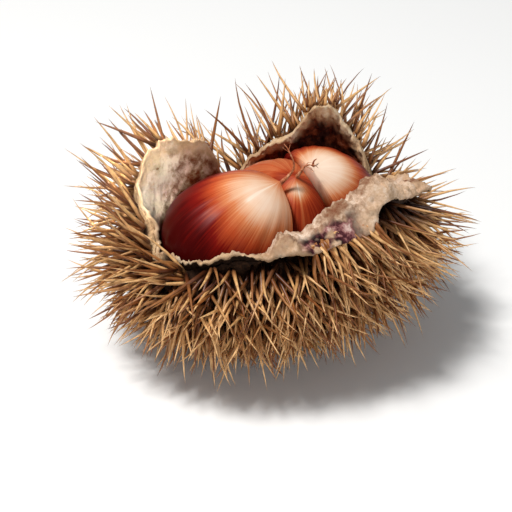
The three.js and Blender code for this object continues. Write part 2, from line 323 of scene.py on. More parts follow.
SKIN_EDGE_COLOURS = [(0.3, (0.26, 0.13, 0.055)), (0.7, (0.80, 0.56, 0.32))]
# Spines: dark brown to nearly black at the root, partly their own brown base and partly painted shade among the
# crowded roots.
SPINE_COLOURS = [
    (0.0, (0.03, 0.009, 0.003)),
    (0.15, (0.10, 0.032, 0.010)),
    (0.34, (0.36, 0.155, 0.055)),
    (0.54, (0.84, 0.49, 0.21)),
    (0.88, (0.90, 0.57, 0.28)),
    (1.0, (0.40, 0.17, 0.06)),
]
SPINE_TINTS = [
    (0.0, (0.24, 0.115, 0.05)),
    (0.34, (0.46, 0.30, 0.18)),
    (0.6, (0.95, 0.93, 0.88)),
    (1.0, (1.0, 0.98, 0.92)),
]
FLECKS = [(0.3, (0.66, 0.58, 0.50)), (0.6, (1.0, 1.0, 1.0))]
# The shell's cream end serves both the nuts' own cream tips and their painted highlights.
SHELL_COLOURS = [
    (0.0, (0.055, 0.001, 0.001)),
    (0.2, (0.17, 0.005, 0.003)),
    (0.42, (0.43, 0.062, 0.017)),
    (0.62, (0.62, 0.20, 0.075)),
    (0.82, (0.78, 0.48, 0.31)),
    (1.0, (0.88, 0.70, 0.56)),
]
HILUM_COLOURS = [(0.35, (0.22, 0.11, 0.04)), (0.65, (0.48, 0.31, 0.15))]
STYLE_COLOURS = [(0.3, (0.20, 0.04, 0.012)), (0.52, (0.50, 0.15, 0.055)), (0.72, (0.85, 0.50, 0.30))]

UP = np.array([0.0, 0.0, 1.0])
ALONG = np.array([math.cos(ROW_TURN), math.sin(ROW_TURN), 0.0])
ACROSS = np.cross(UP, ALONG)


def smooth(x):
    """A soft step from 0 to 1."""
    t = np.clip(x, 0, 1)
    return t * t * (3 - 2 * t)


def between(x, start, end, soft_in, soft_out):
    """1 where x lies well between start and end and 0 outside, with soft ends."""
    return smooth((x - start) / soft_in) * smooth((end - x) / soft_out)


def degrees_of(angle):
    """Angles in degrees from -180 to 180."""
    return np.degrees(np.mod(angle + math.pi, 2 * math.pi) - math.pi)


def draw(i, k):
    """A repeatable draw from 0 to 1 for item i, draw k."""
    x = np.sin(i * 12.9898 + k * 78.233) * 43758.5453
    return x - np.floor(x)


def unit(v):
    """Vectors of length 1."""
    return v / np.linalg.norm(v, axis=-1, keepdims=True)


def col(x):
    """Numbers as a column, to multiply vectors by."""
    return np.asarray(x, float)[..., None]


def from_row(along, across, z):
    """Vectors from their parts along the row of nuts, across it and upwards."""
    return col(along) * ALONG + col(across) * ACROSS + col(z) * UP


# Forms of the husk


def rim_at(angle):
    """Length, lean, curl and lip at each angle: a smooth curve through RIM that never overshoots its rows."""
    turn = np.array([360.0, 0, 0, 0, 0])
    rows = np.vstack([RIM[-2:] - turn, RIM, RIM[:3] + turn])
    at = rows[:, 0]
    slope = np.diff(rows[:, 1:], axis=0) / np.diff(at)[:, None]
    before, after = slope[:-1], slope[1:]
    same = before * after > 0
    tangent = np.zeros_like(rows[:, 1:])
    tangent[1:-1][same] = (2 * before * after)[same] / (before + after)[same]
    degrees = RIM[0, 0] + np.mod(np.degrees(angle) - RIM[0, 0], 360)
    k = np.searchsorted(at, degrees, side="right") - 1
    width = at[k + 1] - at[k]
    share = (degrees - at[k]) / width
    rise = smooth(share)
    bend = tangent[k] * col(width * share * (1 - share) ** 2)
    bend = bend + tangent[k + 1] * col(width * share**2 * (share - 1))
    figures = rows[k, 1:] * col(1 - rise) + rows[k + 1, 1:] * col(rise) + bend
    torn = TORN_EDGE * sum(h * np.sin(count * angle + phase) for count, h, phase in TORN_WAVES)
    start, fully, until, end, share = (NARROW_LIP[k] for k in ("from", "fully", "until", "to", "share"))
    kept = 1 - share * between(degrees, start, end, fully - start, end - until)
    return figures[..., 0] + torn, figures[..., 1], figures[..., 2], figures[..., 3], kept


def inner_face(angle, s, longer=0.0):
    """Points and outward normals of the inner face: s is 0 to 1 up the cup and 1 to 2 up the wall above it."""
    angle, s = np.broadcast_arrays(np.asarray(angle, float), np.asarray(s, float))
    a, b, depth, equator = CUP["half_length"], CUP["half_width"], CUP["depth"], CUP["equator_z"]
    c, d = np.cos(angle), np.sin(angle)
    low = np.minimum(s, 1)
    ring = np.sin(low * math.pi / 2)
    drop = depth * np.cos(low * math.pi / 2)
    point = from_row(a * c * ring, b * d * ring, equator - drop)
    normal = unit(from_row(c * ring / a, d * ring / b, -drop / depth**2))
    out = unit(from_row(c / a, d / b, 0 * c))
    length, lean, curl, lip, kept = rim_at(angle)
    rise = np.maximum(s - 1, 0) * kept
    step = (length + longer) * rise / RIM_STEPS
    for i in range(RIM_STEPS):
        f = rise * (i + 0.5) / RIM_STEPS
        fold = lip * smooth((f - LIP["from"]) / (LIP["to"] - LIP["from"]))
        slope = np.radians(90 - lean * smooth(f * 3) + curl * f * f - fold)
        point = point + out * col(step * np.cos(slope)) + UP * col(step * np.sin(slope))
    upper = out * col(np.sin(slope)) - UP * col(np.cos(slope))
    return point, np.where(col(s > 1), upper, normal)


def wall_at(s):
    """The wall's thickness."""
    return CUP["wall"] + (CUP["rim_wall"] - CUP["wall"]) * smooth((s - 1) * 2)


def outer_face(angle, s, longer=0.0):
    point, normal = inner_face(angle, s, longer)
    return point + normal * col(wall_at(np.asarray(s, float))), normal


def fold_at(angle):
    """How fully the lip is folded over, from 0 to 1."""
    return smooth(rim_at(angle)[3] / 90)


def sag_at(angle, s):
    """How far the lip's left end hangs lower than the solid's, most at its ridge."""
    ridge, edge = LIP_SAG["ridge"], LIP_SAG["edge"]
    drop = ridge * smooth((s - 1.45) / 0.2) - (ridge - edge) * smooth((s - 1.75) / 0.25)
    return drop * np.exp(-(((degrees_of(angle) - LIP_SAG["at"]) / LIP_SAG["width"]) ** 2))


def even_places(count, to):
    """Angles and heights spread evenly over the husk's outer face, by area: a golden-angle sequence."""
    rows, columns = SPINY["rows"], SPINY["columns"]
    angle = (np.arange(columns) + 0.5) / columns * 2 * math.pi
    top = to + (SPINY["to_under_lip"] - to) * fold_at(angle)
    s = SPINY["from"] + (top[:, None] - SPINY["from"]) * np.arange(rows + 1) / rows
    here = outer_face(angle[:, None], s)[0]
    beside = outer_face(angle[:, None] + 0.02, s)[0]
    across = np.linalg.norm(beside - here, axis=-1)[:, :-1]
    up = np.linalg.norm(np.diff(here, axis=1), axis=-1)
    sums = np.concatenate([np.zeros((columns, 1)), np.cumsum(across * up, axis=1)], axis=1)
    ends = np.cumsum(sums[:, -1])
    n = np.arange(count)
    target = np.mod((n + 0.5) * GOLDEN_SHARE, 1) * ends[-1]
    i = np.searchsorted(ends, target, side="left")
    before = ends[i] - sums[i, -1]
    angles = (i + (target - before) / sums[i, -1]) / columns * 2 * math.pi
    wanted = (n + 0.5) / count * sums[i, -1]
    heights = [np.interp(w, sums[k], s[k]) for w, k in zip(wanted, i)]
    return angles, np.array(heights)


def spine_lines(kind):
    """Root, tip, normal, angle, number, paleness at the root, radius and bend of each spine of one kind; the
    paleness lifts the painted root shade of spines in the open near the rim.
    """
    angles, heights = even_places(kind["bundles"], kind["to"])
    n, k = np.meshgrid(np.arange(kind["bundles"]), np.arange(kind["per_bundle"]), indexing="ij")
    n, k = n.ravel(), k.ravel()
    angle, s = angles[n], heights[n]
    point, normal = outer_face(angle, s)
    side = unit(np.cross(normal, np.where(np.abs(normal[:, 2:]) < 0.9, UP, ALONG)))
    other = np.cross(normal, side)
    turn = 2 * math.pi * (k + draw(n, k)) / kind["per_bundle"]
    away = side * col(np.cos(turn)) + other * col(np.sin(turn))
    leaning = np.sqrt(kind["least"] + (1 - kind["least"]) * draw(n, k + 20))
    tilt = kind["tilt"] * leaning
    full = SPINES["length"] + SPINES["length_spread"] * (2 * draw(n, k + 40) - 1)
    near_rim = 1 + (kind["rim_share"] - 1) * smooth(s - 1)
    grown = smooth((s - SPINES["low_from"]) / (SPINES["low_to"] - SPINES["low_from"]))
    underneath = SPINES["low_share"] + (1 - SPINES["low_share"]) * grown
    length = (1 + (kind["longest"] - 1) * leaning**2) * full * near_rim * underneath
    fold = fold_at(angle)
    down = SPINES["pressed_down"] * fold * smooth((s - 0.7) * 2)
    down = down - kind["lift"] * (1 - fold) * smooth((s - 1.15) / 0.6)
    root = point + away * kind["bundle_radius"]
    tip = root + unit(normal + away * col(tilt) - UP * col(down)) * col(length)
    ahead = tip - root
    room = np.where(ahead < 0, SPINE_REACH[0] - root, SPINE_REACH[1] - root) / np.where(ahead == 0, 1, ahead)
    tip = root + ahead * col(np.minimum(room.min(1), 1))
    light = (1 - fold) * smooth((s - 1.15) / 0.4)
    at_back = light * smooth(np.sin(angle + ROW_TURN) * 4)
    kept = draw(n, k + 80) > kind["thinned"] * at_back
    radius, bend = np.full(len(n), kind["radius"]), np.full(len(n), kind["bend"])
    return [x[kept] for x in (root, tip, normal, angle, n * 31 + k, light, radius, bend)]


def lip_spine_lines():
    """The spines that stand on the lip's torn edge, in the form that spine_lines gives."""
    n = np.arange(LIP_SPINES["count"])
    number = LIP_SPINES["numbered_from"] + n
    start, end = LIP_SPINES["from"], LIP_SPINES["to"]
    angle = np.radians(start + (end - start) * (n + draw(number, 1)) / len(n))
    s = LIP_SPINES["low"] + (LIP_SPINES["high"] - LIP_SPINES["low"]) * draw(number, 2)
    point, normal = inner_face(angle, s)
    root = point + normal * LIP_SPINES["depth"] - UP * col(sag_at(angle, s))
    out = unit(from_row(np.cos(angle) / CUP["half_length"], np.sin(angle) / CUP["half_width"], 0 * angle))
    side = np.cross(UP, out)
    down = LIP_SPINES["down"] + LIP_SPINES["spread"] * (2 * draw(number, 3) - 1)
    along = LIP_SPINES["along"] + LIP_SPINES["spread"] * (2 * draw(number, 4) - 1)
    length = LIP_SPINES["length"] * (0.7 + 0.6 * draw(number, 5))
    tip = root + unit(out - UP * col(down) + side * col(along)) * col(length)
    same = (LIP_SPINES["light"], FINE_SPINES["radius"], LIP_SPINES["bend"])
    light, radius, bend = (np.full(len(n), x) for x in same)
    return [root, tip, np.zeros((len(n), 3)), angle, number, light, radius, bend]


# Mesh helpers


def make_piece(name, vertices, faces, material, node, slot, smooth_shaded=True, **values):
    """A mesh object from vertices in millimetres, with its values by vertex as attributes for its material."""
    mesh = bpy.data.meshes.new(name)
    mesh.from_pydata((np.asarray(vertices) * MM).tolist(), [], [list(map(int, f)) for f in faces])
    mesh.validate()
    for key, value in values.items():
        value = np.asarray(value, np.float32)
        kind = "FLOAT_VECTOR" if value.ndim == 2 else "FLOAT"
        layer = mesh.attributes.new(key, kind, "POINT")
        layer.data.foreach_set("vector" if value.ndim == 2 else "value", value.ravel())
    mesh.polygons.foreach_set("use_smooth", [smooth_shaded] * len(mesh.polygons))
    mesh.materials.append(material)
    piece = bpy.data.objects.new(name, mesh)
    bpy.context.scene.collection.objects.link(piece)
    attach(piece, "root")
    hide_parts(node)
    return piece


def closed_grid(rows, around):
    """Faces of a closed form: a pole, rows of points around it, and a pole, numbered in that order."""
    i = np.arange(around)
    j = (i + 1) % around
    first = [(0, 1 + b, 1 + a) for a, b in zip(i, j)]
    faces = [tuple(f[::-1]) for f in first]
    for row in range(rows - 1):
        low = 1 + row * around
        high = low + around
        faces += [(low + a, high + a, high + b, low + b) for a, b in zip(i, j)]
    last = 1 + rows * around
    low = 1 + (rows - 1) * around
    faces += [(low + a, last, low + b) for a, b in zip(i, j)]
    return faces


def lumps(points, kind):
    """Noise from about -1 to 1 at each point, of one of the kinds in LUMPS."""
    size, octaves, seed = LUMPS[kind]
    shift = Vector((seed, 2 * seed, 3 * seed))
    return np.array([noise.fractal(Vector(p) / size + shift, 0.9, 2.0, octaves) for p in points.tolist()])


# Material helpers


def new_material(name):
    """A material, its node tree and its shader."""
    material = bpy.data.materials.new(name)
    material.use_nodes = True
    tree = material.node_tree
    return material, tree, tree.nodes["Principled BSDF"]


def value_of(tree, name):
    """The node that reads one of a piece's values."""
    node = tree.nodes.new("ShaderNodeAttribute")
    node.attribute_name = name
    return node


def add_noise(tree, vector, scale, detail=4.0, roughness=0.55):
    node = tree.nodes.new("ShaderNodeTexNoise")
    node.inputs["Scale"].default_value = scale
    node.inputs["Detail"].default_value = detail
    node.inputs["Roughness"].default_value = roughness
    tree.links.new(vector, node.inputs["Vector"])
    return node.outputs["Fac"]


def add_ramp(tree, source, stops):
    node = tree.nodes.new("ShaderNodeValToRGB")
    ramp = node.color_ramp
    while len(ramp.elements) < len(stops):
        ramp.elements.new(0.5)
    for element, (place, colour) in zip(ramp.elements, stops):
        element.position = place
        element.color = (*colour, 1)
    tree.links.new(source, node.inputs["Fac"])
    return node.outputs["Color"]


def add_range(tree, source, low, high, to_low=0.0, to_high=1.0):
    node = tree.nodes.new("ShaderNodeMapRange")
    node.interpolation_type = "SMOOTHSTEP"
    for key, value in (("From Min", low), ("From Max", high), ("To Min", to_low), ("To Max", to_high)):
        node.inputs[key].default_value = value
    tree.links.new(source, node.inputs["Value"])
    return node.outputs["Result"]


def add_mix(tree, factor, a, b, blend="MIX"):
    node = tree.nodes.new("ShaderNodeMix")
    node.data_type = "RGBA"
    node.blend_type = blend
    for socket, source in ((0, factor), (6, a), (7, b)):
        if isinstance(source, (int, float)):
            node.inputs[socket].default_value = source
        elif isinstance(source, tuple):
            node.inputs[socket].default_value = (*source, 1)
        else:
            tree.links.new(source, node.inputs[socket])
    return node.outputs[2]


def add_math(tree, operation, a, b):
    node = tree.nodes.new("ShaderNodeMath")
    node.operation = operation
    for socket, source in ((0, a), (1, b)):
        if isinstance(source, (int, float)):
            node.inputs[socket].default_value = source
        else:
            tree.links.new(source, node.inputs[socket])
    return node.outputs[0]


def add_stretch(tree, vector, by):
    """A vector with each of its parts multiplied."""
    node = tree.nodes.new("ShaderNodeVectorMath")
    node.operation = "MULTIPLY"
    node.inputs[1].default_value = by
    tree.links.new(vector, node.inputs[0])
    return node.outputs[0]


def add_bump(tree, shader, height, strength, distance):
    node = tree.nodes.new("ShaderNodeBump")
    node.inputs["Strength"].default_value = strength
    node.inputs["Distance"].default_value = distance
    tree.links.new(height, node.inputs["Height"])
    tree.links.new(node.outputs["Normal"], shader.inputs["Normal"])


def object_place(tree):
    return tree.nodes.new("ShaderNodeTexCoord").outputs["Object"]


# Materials


def husk_material():
    """The wall: felted lining from cream to dark brown, with painted shade making it nearly black deep in the
    cup, inside the hood and low on the tongue, torn flesh on the lip, and rough brown skin outside.
    """
    material, tree, shader = new_material("husk_wall")
    place = object_place(tree)
    fibres = add_noise(tree, place, 1100, 6, 0.7)
    blotches = add_noise(tree, place, 260, 6, 0.65)
    broad = add_noise(tree, place, 90, 3, 0.5)
    tone = value_of(tree, "tone").outputs["Fac"]
    tone = add_math(tree, "ADD", tone, add_range(tree, blotches, 0.32, 0.68, -0.2, 0.2))
    tone = add_math(tree, "ADD", tone, add_range(tree, fibres, 0.3, 0.7, -0.09, 0.09))
    tone = add_math(tree, "ADD", tone, add_range(tree, broad, 0.3, 0.7, -0.1, 0.1))
    lining = add_ramp(tree, tone, LINING_COLOURS)
    skin = add_ramp(tree, fibres, WALL_OUTSIDE_COLOURS)
    torn = add_ramp(tree, blotches, TORN_COLOURS)
    tan = add_ramp(tree, blotches, TAN_COLOURS)
    at_edge = add_math(tree, "MULTIPLY", value_of(tree, "tan").outputs["Fac"], 0.8)
    lining = add_mix(tree, at_edge, lining, tan)
    lining = add_mix(tree, value_of(tree, "torn").outputs["Fac"], lining, torn)
    colour = add_mix(tree, value_of(tree, "lining").outputs["Fac"], skin, lining)
    tree.links.new(colour, shader.inputs["Base Color"])
    shader.inputs["Roughness"].default_value = 0.85
    shader.inputs["Specular IOR Level"].default_value = 0.12
    add_bump(tree, shader, add_math(tree, "ADD", fibres, blotches), 0.7, 0.0006)
    return material


def spine_material():
    """Dry spines: golden tan, brown at the very tip, each a little different, and dark brown to nearly black at
    the root, partly their own brown base and partly painted shade among the crowded roots.
    """
    material, tree, shader = new_material("husk_spines")
    along = value_of(tree, "along").outputs["Fac"]
    hue = value_of(tree, "hue").outputs["Fac"]
    grain = add_noise(tree, object_place(tree), 700, 3)
    colour = add_ramp(tree, along, SPINE_COLOURS)
    tint = add_ramp(tree, hue, SPINE_TINTS)
    colour = add_mix(tree, 1.0, colour, tint, "MULTIPLY")
    flecks = add_ramp(tree, grain, FLECKS)
    colour = add_mix(tree, 1.0, colour, flecks, "MULTIPLY")
    tree.links.new(colour, shader.inputs["Base Color"])
    shader.inputs["Roughness"].default_value = 0.42
    add_bump(tree, shader, grain, 0.2, 0.0002)
    return material


def nut_material(name):
    """Polished shell: cream round the tip, partly the shell's own cream tip and partly a painted highlight
    standing in for its gloss, then orange-brown to dark red, in fine streaks that meet there.
    """
    material, tree, shader = new_material(name)
    grain = value_of(tree, "grain").outputs["Vector"]
    streaks = add_noise(tree, add_stretch(tree, grain, (38, 38, 1.6)), 1.0, 6, 0.7)
    bands = add_noise(tree, add_stretch(tree, grain, (5, 5, 1.1)), 1.0, 3, 0.5)
    clouds = add_noise(tree, object_place(tree), 90, 3)
    pale_and_highlight = value_of(tree, "pale_and_highlight").outputs["Fac"]
    strength = add_range(tree, pale_and_highlight, 0.55, 0.95, 1.0, 0.35)
    streaked = add_math(tree, "MULTIPLY", strength, add_range(tree, streaks, 0.3, 0.7, -0.075, 0.075))
    tone = add_math(tree, "ADD", pale_and_highlight, streaked)
    banded = add_math(tree, "MULTIPLY", strength, add_range(tree, bands, 0.3, 0.7, -0.05, 0.05))
    tone = add_math(tree, "ADD", tone, banded)
    tone = add_math(tree, "ADD", tone, add_range(tree, clouds, 0.3, 0.7, -0.03, 0.03))
    colour = add_ramp(tree, tone, SHELL_COLOURS)
    base = value_of(tree, "hilum").outputs["Fac"]
    colour = add_mix(tree, base, colour, add_ramp(tree, clouds, HILUM_COLOURS))
    tree.links.new(colour, shader.inputs["Base Color"])
    gloss = add_range(tree, base, 0.0, 1.0, 0.36, 0.8)
    tree.links.new(gloss, shader.inputs["Roughness"])
    shader.inputs["Specular IOR Level"].default_value = 0.07
    add_bump(tree, shader, streaks, 0.06, 0.0003)
    return material


def style_material():
    """A dried style: red-brown with light flecks."""
    material, tree, shader = new_material("dried_style")
    grain = add_noise(tree, object_place(tree), 1500, 4)
    colour = add_ramp(tree, grain, STYLE_COLOURS)
    tree.links.new(colour, shader.inputs["Base Color"])
    shader.inputs["Roughness"].default_value = 0.6
    add_bump(tree, shader, grain, 0.4, 0.0002)
    return material


# Pieces


def thinner_at(s):
    """How much thinner the wall is than the solid's, towards its torn edge."""
    return (CUP["rim_wall"] - EDGE_WALL) * smooth((s - THINNER_FROM) / (2 - THINNER_FROM))


def crinkled_at(crinkle, s):
    """How far the torn edge's crinkles push the wall outwards."""
    return crinkle * smooth((s - CRINKLED_FROM) / (2 - CRINKLED_FROM))


def torn_rim(angle):
    """How much longer the wall is at each angle, and how far its thin edge is crinkled outwards."""
    circle = np.stack([20 * np.cos(angle), 20 * np.sin(angle), 0 * angle], -1)
    fold = fold_at(angle)
    hood = back_and_left(np.degrees(angle)) * (1 - fold)
    longer = (RAG["all"] + RAG["lip"] * fold + RAG["hood"] * hood) * lumps(circle, "rag")
    longer = longer + (FINE_RAG["all"] + FINE_RAG["lip"] * fold) * lumps(circle, "fine_rag")
    return longer, (1 - fold) * lumps(circle, "crinkle")


def lump_at(degrees, s):
    """The lump at the lip's left end, as a share from 0 to 1."""
    across = (degrees - LUMP["at"]) / LUMP["width"]
    up = (s - LUMP["height"]) / LUMP["spread"]
    return np.exp(-(across**2) - up**2)


def lining_relief(points, degrees, s, fold, lump):
    """How far the lining's felt, wrinkles and lump stand out."""
    near_rim = smooth((s - 1.2) / 0.5)
    hooded = near_rim * between(degrees, *ZONES["hood_relief"])
    relief = RELIEF["felt"] * lumps(points, "felt")
    for kind, more in RELIEF_ON_LIP.items():
        relief = relief + near_rim * (RELIEF[kind] + more * fold) * lumps(points, kind)
    relief = relief + RELIEF["hood"] * hooded * lumps(points, "hood")
    return relief + lump * (LUMP["rise"] + LUMP["rough"] * lumps(points, "lump"))


def make_wall(material):
    """The wall, with a lumpy lining, a ragged torn edge, and a wrinkled lip with a lump at its left end."""
    around, inside, outside = WALL_MESH["around"], WALL_MESH["inside"], WALL_MESH["outside"]
    angle = np.arange(around) / around * 2 * math.pi
    inner_s = 2 * (np.arange(1, inside + 1) / inside) ** 0.9
    outer_s = 2 * (np.arange(outside, 0, -1) / outside)
    rag, crinkle = torn_rim(angle)
    ia, is_ = [x.ravel() for x in np.broadcast_arrays(angle[None], inner_s[:, None])]
    oa, os_ = [x.ravel() for x in np.broadcast_arrays(angle[None], outer_s[:, None])]
    inner, inner_normal = inner_face(ia, is_, np.tile(rag, inside))
    outer, outer_normal = outer_face(oa, os_, np.tile(rag, outside))
    fold = fold_at(ia)
    degrees = degrees_of(ia)
    lump = lump_at(degrees, is_)
    shift = crinkled_at(np.tile(crinkle, inside), is_) - lining_relief(inner, degrees, is_, fold, lump)
    inner = inner + inner_normal * col(shift) - UP * col(sag_at(ia, is_))
    rough = RELIEF["outside"] * lumps(outer, "outside")
    shift = crinkled_at(np.tile(crinkle, outside), os_) + rough - thinner_at(os_)
    outer = outer + outer_normal * col(shift) - UP * col(sag_at(oa, os_))
    bottom_in, bottom_out = inner_face(0.0, 0.0)[0], outer_face(0.0, 0.0)[0]
    vertices = np.vstack([bottom_in[None], inner, outer, bottom_out[None]])
    tone, torn = lining_values(degrees, is_, fold, lump, inner)
    golden = back_and_left(np.degrees(oa)) * smooth((os_ - 1.86) / 0.05)
    values = {
        "lining": (np.ones(len(ia)), np.maximum(np.where(os_ > 1.97, 0.6, 0.0), golden)),
        "tan": (smooth((is_ - 1.72) / 0.2) * (1 - 0.6 * smooth(fold * 2 - 1)), np.ones(len(oa))),
        "tone": (tone, np.full(len(oa), TONES["outside"])),
        "torn": (torn, np.zeros(len(oa))),
    }
    values = {key: np.concatenate([[a[0]], a, b, [b[-1]]]) for key, (a, b) in values.items()}
    faces = closed_grid(inside + outside, around)
    make_piece("husk_wall", vertices, faces, material, "husk_wall", "husk_felt", **values)


def lining_values(degrees, s, fold, lump, points):
    """How dark the lining is, from cream at 0 to nearly black at 1, with painted shade deep in the cup, inside
    the hood and low on the tongue, and where the lip's flesh is torn.
    """
    hood = between(degrees, *ZONES["hood"])
    tongue = between(degrees, *ZONES["tongue"])
    front_left = smooth((-112 - degrees) / 6)
    band = 0.06 + 0.14 * smooth((degrees - 50) / 15)
    # Painted shadow: the hood's inside, below its rim band, is darker than the band.
    in_hood = TONES["hood"] + TONES["painted_hood_shade"] * smooth((2 - band - s) / 0.05)
    in_hood = in_hood + TONES["hood_lumps"] * lumps(points, "hood_tone")
    in_tongue = TONES["tongue"] + TONES["tongue_right"] * smooth((136 - degrees) / 20)
    # Painted shade: the tongue darkens low down, towards the cup.
    in_tongue = in_tongue + TONES["painted_tongue_shade"] * smooth((1.55 - s) / 0.35)
    in_tongue = in_tongue + TONES["tongue_lumps"] * lumps(points, "tongue_tone")
    on_lip = TONES["lip"] + TONES["lip_right"] * smooth((degrees + 50) / 25)
    tone = on_lip * (1 - hood) * (1 - tongue) + in_hood * hood + in_tongue * tongue
    tone = tone + front_left * TONES["front_left"] + TONES["lump"] * lump
    # Painted shade: the lining turns nearly black deep in the cup.
    tone = np.maximum(tone, TONES["depth"] * smooth((1.3 - s) / 0.3))
    torn = fold * smooth((s - 1.76) / 0.08) * smooth((lumps(points, "torn") + 0.35) / 0.2)
    torn = torn * between(degrees, *ZONES["torn"])
    return tone, np.clip(torn, 0, 1)


def back_and_left(degrees):
    """1 along the back and left valves, whose torn edge is golden outside too, and 0 along the front ones."""
    return between(np.mod(degrees, 360), *ZONES["golden"])


def make_skin(material):
    """The rough brown skin that carries the spines, from the scar up to the torn rim or under the lip."""
    around, rows = SKIN_MESH["around"], SKIN_MESH["rows"]
    angle = np.arange(around) / around * 2 * math.pi
    top = SKIN["to"] + (SKIN["to_under_lip"] - SKIN["to"]) * fold_at(angle)
    share = col(np.arange(rows) / (rows - 1))
    bottom = SPINY["from"] * 0.9
    s = bottom + (top - bottom)[None] * share
    a = np.broadcast_to(angle[None], s.shape)
    rag, crinkle = torn_rim(angle)
    outer, normal = outer_face(a, s, rag[None])
    outer = outer + normal * col(crinkled_at(crinkle[None], s) - thinner_at(s))
    inner = outer + normal * SKIN["gap"]
    rough = RELIEF["skin"] * lumps(outer.reshape(-1, 3), "skin").reshape(s.shape)
    thickness = SKIN["thickness"] * (1 - 0.7 * smooth((share - 0.7) / 0.3))
    outer = outer + normal * col(SKIN["gap"] + thickness + rough * (1 - 0.6 * share))
    rings = np.concatenate([outer, inner[::-1]])
    count = len(rings)
    i, j = np.arange(around), (np.arange(around) + 1) % around
    faces = []
    for row in range(count):
        low, high = row * around, (row + 1) % count * around
        faces += [(low + p, low + q, high + q, high + p) for p, q in zip(i, j)]
    edge = smooth((share - 0.9) / 0.05) * back_and_left(np.degrees(angle))[None]
    edge = np.concatenate([edge, edge[::-1]]).ravel()
    make_piece("husk_skin", rings.reshape(-1, 3), faces, material, "husk_spines", "husk_spines", edge=edge)


def skin_material():
    """The rough skin between the spines: dark brown, and golden along the back and left valves' torn edge."""
    material, tree, shader = new_material("husk_skin")
    place = object_place(tree)
    fibres = add_noise(tree, place, 900, 5, 0.7)
    colour = add_ramp(tree, fibres, SKIN_COLOURS)
    golden = add_ramp(tree, fibres, SKIN_EDGE_COLOURS)
    colour = add_mix(tree, value_of(tree, "edge").outputs["Fac"], colour, golden)
    tree.links.new(colour, shader.inputs["Base Color"])
    shader.inputs["Roughness"].default_value = 0.9
    shader.inputs["Specular IOR Level"].default_value = 0.2
    add_bump(tree, shader, fibres, 0.8, 0.0005)
    return material


def make_scar(material):
    """The boss under the burr, with the scar where the stalk broke off."""
    around, rows = SCAR_MESH["around"], SCAR_MESH["rows"]
    turn = np.arange(around) / around * 2 * math.pi
    share = np.arange(rows) / (rows - 1)
    radius = SCAR["radius"] + (SCAR["top_radius"] - SCAR["radius"]) * share
    ridges = 1 + SCAR["ridge"] * np.sin(SCAR["ridges"] * turn)[None] * smooth(share * 4)[:, None]
    ring = radius[:, None] * ridges
    z = np.broadcast_to(SCAR["height"] * share[:, None], ring.shape)
    side = np.stack([ring * np.cos(turn), ring * np.sin(turn), z], -1).reshape(-1, 3)
    vertices = np.vstack([[[0, 0, SCAR["hollow"]]], side, [[0, 0, SCAR["height"]]]])
    count = len(vertices)
    faces = closed_grid(rows, around)
    zero = np.zeros(count)
    values = {"lining": zero, "tone": zero + TONES["outside"], "torn": zero, "tan": zero}
    make_piece("husk_scar", vertices, faces, material, "husk_wall", "husk_felt", **values)


def spine_mesh(root, tip, normal, number, light, radius, bend):
    """Closed curved cones: vertices, faces, and each vertex's place along its spine and its spine's hue."""
    count = len(root)
    start = root + normal * SPINE_START
    axis = tip - start
    length = np.linalg.norm(axis, axis=1)
    ahead = unit(axis)
    side = unit(np.cross(ahead, np.where(np.abs(ahead[:, 2:]) < 0.9, UP, ALONG)))
    other = np.cross(ahead, side)
    bend = length * bend * (2 * draw(number, 61) - 1)
    turn = 2 * math.pi * draw(number, 62)
    bow = (side * col(np.cos(turn)) + other * col(np.sin(turn))) * col(bend)
    shares = [share for share, _ in SPINE_RINGS]
    around = 2 * math.pi * np.arange(SPINE_SIDES) / SPINE_SIDES
    rings = []
    for share, t in SPINE_RINGS:
        centre = start + axis * share + bow * (4 * share * (1 - share))
        r = radius * t * (0.8 + 0.35 * draw(number, 63))
        for a in around:
            rings.append(centre + side * col(r * math.cos(a)) + other * col(r * math.sin(a)))
    points = np.stack(rings + [tip], 1)
    points[..., 2] = np.maximum(points[..., 2], 0.0)
    per = points.shape[1]
    faces = [tuple(range(SPINE_SIDES))[::-1]]
    for row in range(len(shares) - 1):
        for a in range(SPINE_SIDES):
            b = (a + 1) % SPINE_SIDES
            low, high = row * SPINE_SIDES, (row + 1) * SPINE_SIDES
            faces.append((low + a, low + b, high + b, high + a))
    last = (len(shares) - 1) * SPINE_SIDES
    faces += [(last + a, last + (a + 1) % SPINE_SIDES, per - 1) for a in range(SPINE_SIDES)]
    all_faces = [tuple(i * per + v for v in f) for i in range(count) for f in faces]
    along = np.tile(np.append(np.repeat(shares, SPINE_SIDES), 1.0), count)
    # Light spines' roots move up the ramp, away from its painted root shade.
    along = along + np.repeat(LESS_ROOT_SHADE * light, per) * (1 - along)
    hue = np.repeat(draw(number, 64), per)
    return points.reshape(-1, 3), all_faces, along, hue


